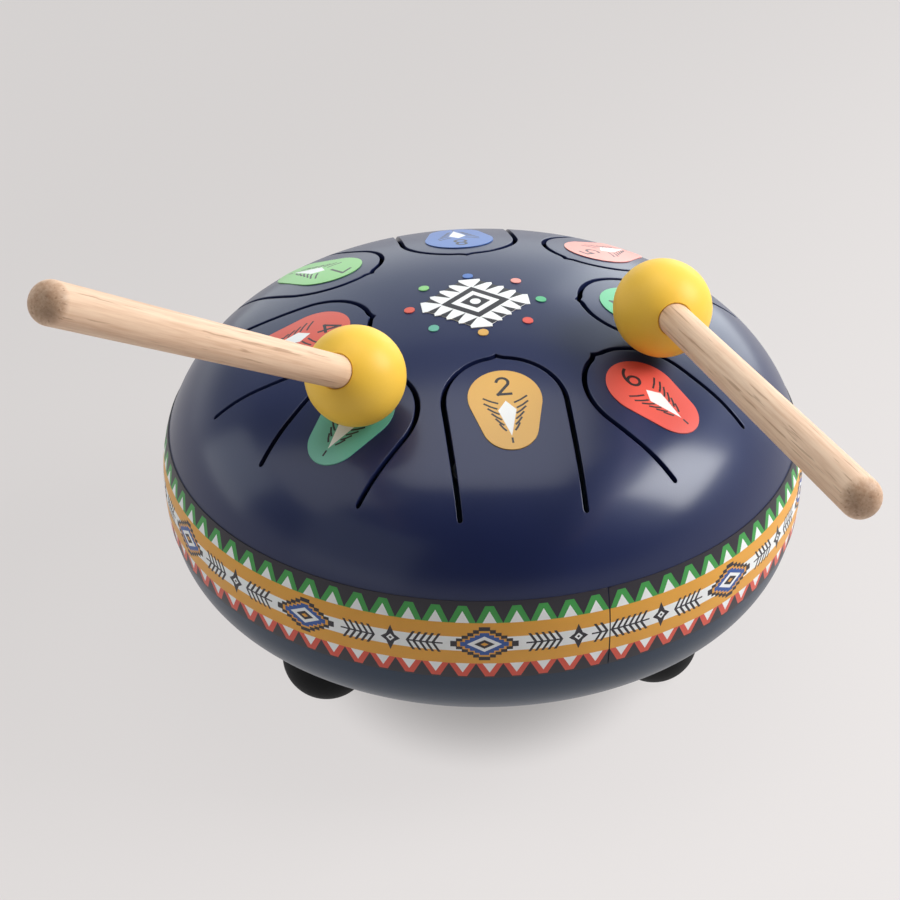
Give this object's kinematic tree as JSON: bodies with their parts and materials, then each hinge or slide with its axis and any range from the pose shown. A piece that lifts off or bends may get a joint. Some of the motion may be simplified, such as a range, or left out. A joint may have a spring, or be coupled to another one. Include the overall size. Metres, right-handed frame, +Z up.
{
  "type": "steel tongue drum with mallets",
  "caption": "Small steel tongue drum: two pressed shells welded at the rim, slotted tongues in the upper one, rubber feet, and a pair of ball-headed wooden mallets.",
  "frame": {"origin": "on the drum's axis, in the plane that its feet stand on", "axes": "+Z up along the drum's axis; the side with tongue 2 and the mallets' handles faces -Y, and +X is to the right as seen from there"},
  "size_m": [0.1618, 0.2256, 0.1803],
  "materials": {
    "shell_paint": "dark blue satin powder coat",
    "weld_steel": "bare weld bead",
    "band_film": "printed vinyl film, satin",
    "label_film_1": "printed vinyl film, satin",
    "label_film_2": "printed vinyl film, satin",
    "label_film_3": "printed vinyl film, satin",
    "label_film_4": "printed vinyl film, satin",
    "label_film_5": "printed vinyl film, satin",
    "label_film_6": "printed vinyl film, satin",
    "label_film_7": "printed vinyl film, satin",
    "label_film_8": "printed vinyl film, satin",
    "motif_film": "printed vinyl film, satin",
    "dot_film": "printed vinyl film, satin",
    "foot_rubber": "matt black moulded rubber",
    "zinc_steel": "zinc plated",
    "head_rubber": "satin yellow moulded rubber",
    "handle_beech": "fine sanded, clear matt lacquer"
  },
  "bodies": {
    "drum": {"upper_shell": "shell_paint", "lower_shell": "shell_paint", "seam_weld": "weld_steel", "girth_band": "band_film", "note_label_1": "label_film_1", "note_label_2": "label_film_2", "note_label_3": "label_film_3", "note_label_4": "label_film_4", "note_label_5": "label_film_5", "note_label_6": "label_film_6", "note_label_7": "label_film_7", "note_label_8": "label_film_8", "centre_motif": "motif_film", "centre_dots": "dot_film", "foot_front_left": "foot_rubber", "foot_front_right": "foot_rubber", "foot_back": "foot_rubber", "foot_studs": "zinc_steel", "foot_washers": "zinc_steel", "foot_nuts": "zinc_steel"},
    "mallet_left": {"mallet_left_head": "head_rubber", "mallet_left_handle": "handle_beech"},
    "mallet_right": {"mallet_right_head": "head_rubber", "mallet_right_handle": "handle_beech"}
  },
  "joints": [
    {"name": "mallet_left_swing", "type": "hinge", "parent": "drum", "child": "mallet_left", "pos_m": [-0.07177, -0.12518, 0.16399], "axis": [0.8926, -0.4509, 0], "range_deg": [0, 40]},
    {"name": "mallet_right_swing", "type": "hinge", "parent": "drum", "child": "mallet_right", "pos_m": [0.06455, -0.12365, 0.12907], "axis": [0.9785, 0.2062, 0], "range_deg": [0, 40]}
  ]
}
